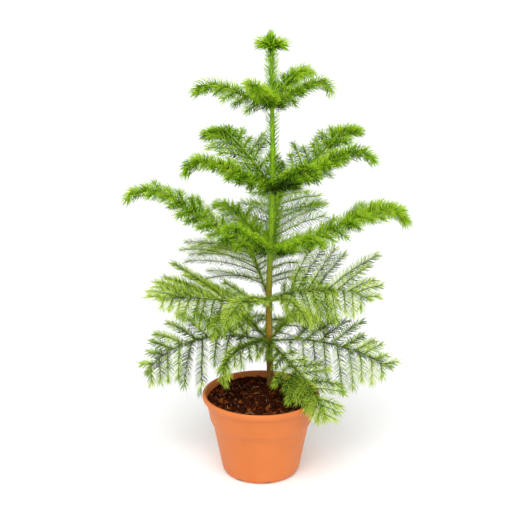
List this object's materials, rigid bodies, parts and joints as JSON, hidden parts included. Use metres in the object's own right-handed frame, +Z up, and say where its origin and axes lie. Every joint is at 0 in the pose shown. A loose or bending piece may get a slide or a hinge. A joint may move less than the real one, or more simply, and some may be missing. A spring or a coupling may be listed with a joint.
{
  "type": "young norfolk island pine in a nursery pot",
  "caption": "Young Norfolk Island pine: a slender trunk with tiers of drooping, needle-clad boughs, standing in a terracotta-coloured nursery pot of dark compost.",
  "frame": {"origin": "centre of the pot's flat underside", "axes": "+Z up along the trunk; +X to the right and -Y towards the viewer in the reference view"},
  "size_m": [0.3988, 0.3045, 0.627],
  "materials": {
    "pot_plastic": "satin moulded plastic, terracotta orange",
    "compost": "moist bark and peat crumbs, matte",
    "bark": "ridged young bark, brown at the foot and green above",
    "bough_bark": "green to olive young bark, matte",
    "needles": "soft awl-shaped needles, satin, lime at the tips"
  },
  "bodies": {
    "root": {"bough_1_back": "bough_bark", "bough_1_front": "bough_bark", "bough_1_left": "bough_bark", "bough_1_right": "bough_bark", "bough_2_front": "bough_bark", "bough_2_left_back": "bough_bark", "bough_2_left_front": "bough_bark", "bough_2_right_back": "bough_bark", "bough_2_right_front": "bough_bark", "bough_3_back": "bough_bark", "bough_3_left": "bough_bark", "bough_3_left_back": "bough_bark", "bough_3_left_front": "bough_bark", "bough_3_right": "bough_bark", "bough_3_right_front": "bough_bark", "bough_4_left": "bough_bark", "bough_4_left_back": "bough_bark", "bough_4_left_front": "bough_bark", "bough_4_right": "bough_bark", "bough_4_right_back": "bough_bark", "bough_4_right_front": "bough_bark", "bough_5_left": "bough_bark", "bough_5_left_back": "bough_bark", "bough_5_left_front": "bough_bark", "bough_5_right": "bough_bark", "bough_5_right_back": "bough_bark", "bough_5_right_front": "bough_bark", "foliage_1_back": "needles", "foliage_1_front": "needles", "foliage_1_left": "needles", "foliage_1_right": "needles", "foliage_2_front": "needles", "foliage_2_left_back": "needles", "foliage_2_left_front": "needles", "foliage_2_right_back": "needles", "foliage_2_right_front": "needles", "foliage_3_back": "needles", "foliage_3_left": "needles", "foliage_3_left_back": "needles", "foliage_3_left_front": "needles", "foliage_3_right": "needles", "foliage_3_right_front": "needles", "foliage_4_left": "needles", "foliage_4_left_back": "needles", "foliage_4_left_front": "needles", "foliage_4_right": "needles", "foliage_4_right_back": "needles", "foliage_4_right_front": "needles", "foliage_5_left": "needles", "foliage_5_left_back": "needles", "foliage_5_left_front": "needles", "foliage_5_right": "needles", "foliage_5_right_back": "needles", "foliage_5_right_front": "needles", "foliage_leader_lower": "needles", "foliage_leader_top": "needles", "foliage_leader_upper": "needles", "pot": "pot_plastic", "soil": "compost", "trunk": "bark"}
  },
  "joints": []
}
